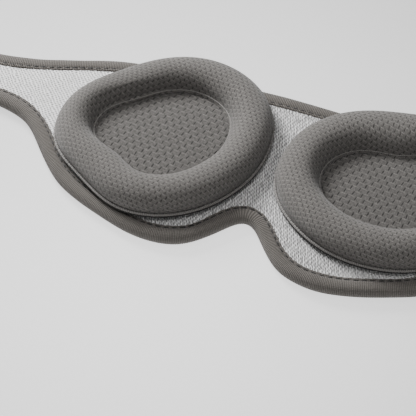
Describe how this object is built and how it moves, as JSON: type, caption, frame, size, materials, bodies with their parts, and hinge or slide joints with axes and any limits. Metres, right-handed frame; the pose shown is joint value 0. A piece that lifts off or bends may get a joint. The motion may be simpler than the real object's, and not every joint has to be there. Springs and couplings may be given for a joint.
{
  "type": "sleep eye mask",
  "caption": "Contoured blackout sleep mask: bound mesh-faced band with a nose notch, loose padded ring eye cups on hook patches, and elastic straps with a hook closure.",
  "frame": {"origin": "on the surface that the mask lies on, below the middle of the whole object with its straps laid open", "axes": "+X from the left temple to the right temple as pictured, along the open straps; +Y towards the forehead edge; +Z towards the face, out of the eye cups"},
  "size_m": [0.56, 0.0862, 0.0156],
  "materials": {
    "mesh_knit": "matte warp-knit mesh with small holes",
    "thread": "dark sewing thread",
    "ribbed_binding": "ribbed stretch binding",
    "shell_fabric": "smooth matte knit",
    "blackout_film": "opaque coated film",
    "band_foam": "soft open-cell foam",
    "cup_foam": "slow-rebound foam",
    "waffle_knit": "matte waffle knit",
    "backing_fabric": "matte backing fabric",
    "hook_tape": "hook tape",
    "elastic": "woven ribbed elastic"
  },
  "bodies": {
    "band_right": {"binding_thread_bridge": "thread", "binding_thread_right": "thread", "blackout_layer_bridge": "blackout_film", "blackout_layer_right": "blackout_film", "box_stitch_right": "thread", "cheek_binding_bridge": "ribbed_binding", "cheek_binding_right": "ribbed_binding", "foam_core_bridge": "band_foam", "foam_core_right": "band_foam", "forehead_binding_bridge": "ribbed_binding", "forehead_binding_right": "ribbed_binding", "mesh_lining_bridge": "mesh_knit", "mesh_lining_right": "mesh_knit", "outer_shell_bridge": "shell_fabric", "outer_shell_right": "shell_fabric", "strap_tongue_right": "elastic"},
    "band_left": {"binding_thread_left": "thread", "blackout_layer_left": "blackout_film", "box_stitch_left": "thread", "cheek_binding_left": "ribbed_binding", "foam_core_left": "band_foam", "forehead_binding_left": "ribbed_binding", "mesh_lining_left": "mesh_knit", "outer_shell_left": "shell_fabric", "strap_tongue_left": "elastic"},
    "cup_left": {"cup_backing_left": "backing_fabric", "cup_cover_left": "waffle_knit", "cup_floor_left": "waffle_knit", "cup_foam_left": "cup_foam", "flange_thread_left": "thread", "hook_patch_left": "hook_tape"},
    "cup_right": {"cup_backing_right": "backing_fabric", "cup_cover_right": "waffle_knit", "cup_floor_right": "waffle_knit", "cup_foam_right": "cup_foam", "flange_thread_right": "thread", "hook_patch_right": "hook_tape"},
    "strap_left": {"elastic_strap_left": "elastic", "hook_tab": "hook_tape", "hook_tab_thread": "thread"},
    "strap_right": {"elastic_strap_right": "elastic", "strap_hem": "elastic"}
  },
  "joints": [
    {"name": "nose_fold", "type": "hinge", "parent": "band_right", "child": "band_left", "pos_m": [0, 0, 0], "axis": [0, 1, 0], "range_deg": [-170, 30], "deforming": ["binding_thread_bridge", "blackout_layer_bridge", "cheek_binding_bridge", "foam_core_bridge", "forehead_binding_bridge", "mesh_lining_bridge", "outer_shell_bridge"]},
    {"name": "left_cup_shift", "type": "slide", "parent": "band_left", "child": "cup_left", "axis": [-1, 0, 0], "range_m": [0, 0.012]},
    {"name": "right_cup_shift", "type": "slide", "parent": "band_right", "child": "cup_right", "axis": [1, 0, 0], "range_m": [0, 0.012]},
    {"name": "left_strap_swing", "type": "hinge", "parent": "band_left", "child": "strap_left", "pos_m": [-0.141, 0, 0.0028], "axis": [0, 1, 0], "range_deg": [0, 90]},
    {"name": "right_strap_swing", "type": "hinge", "parent": "band_right", "child": "strap_right", "pos_m": [0.141, 0, 0.0028], "axis": [0, -1, 0], "range_deg": [0, 90]}
  ]
}
